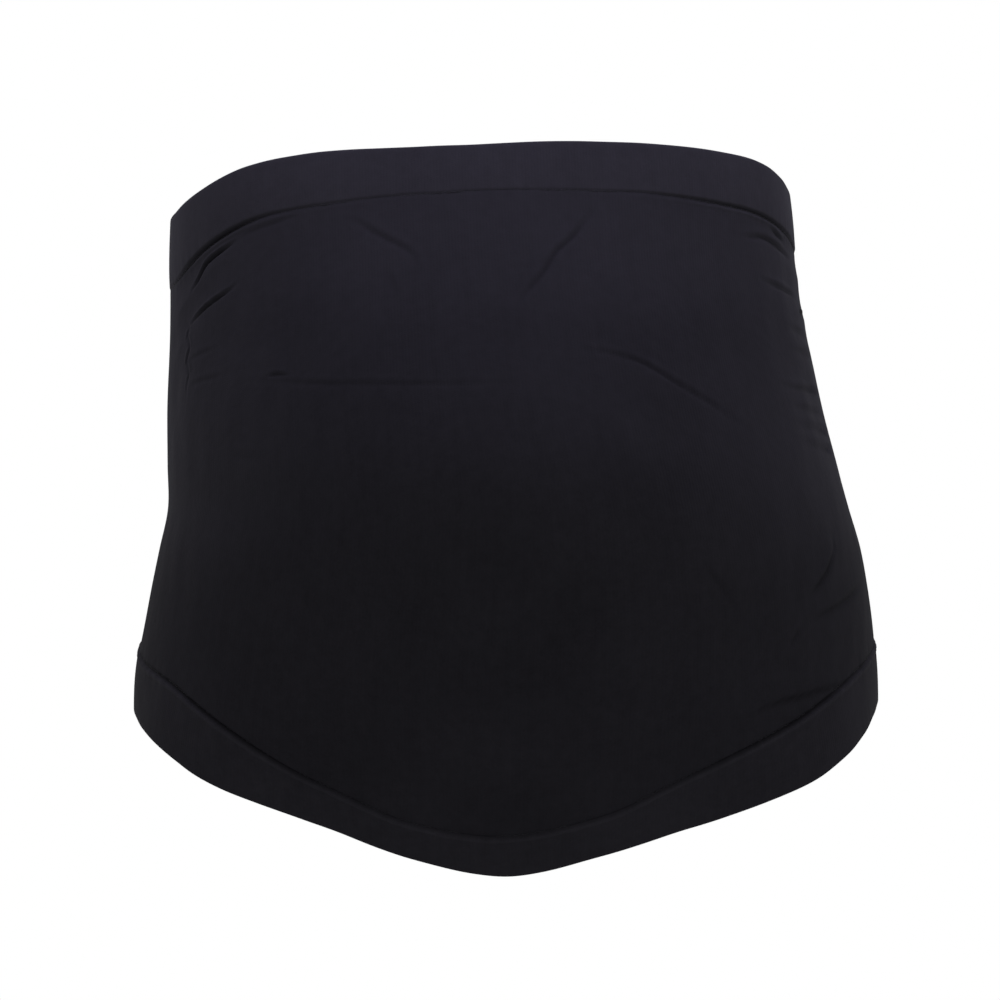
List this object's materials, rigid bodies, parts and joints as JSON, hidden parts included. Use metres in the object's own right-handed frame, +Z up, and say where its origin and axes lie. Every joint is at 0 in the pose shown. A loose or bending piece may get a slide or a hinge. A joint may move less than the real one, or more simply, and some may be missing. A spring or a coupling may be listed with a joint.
{
  "type": "maternity support belt",
  "caption": "Pull-on knitted maternity support belt in its worn form: a seamless stretch tube, domed over the belly and drawn in at the waist, with turned hems top and bottom.",
  "frame": {"origin": "on the body's axis at the waist, inside the tube, where the belt sits on the body", "axes": "+Z up the body, the belly faces -Y, and +X is to the right seen from the front"},
  "size_m": [0.3117, 0.2924, 0.2955],
  "materials": {
    "knit_wall": "fine vertical ribs, matt with a soft sheen at grazing angles",
    "knit_hem": "the same knit, doubled over and stitched down"
  },
  "bodies": {
    "root": {"belly_tube": "knit_wall", "upper_hem": "knit_hem", "lower_hem": "knit_hem"}
  },
  "joints": []
}
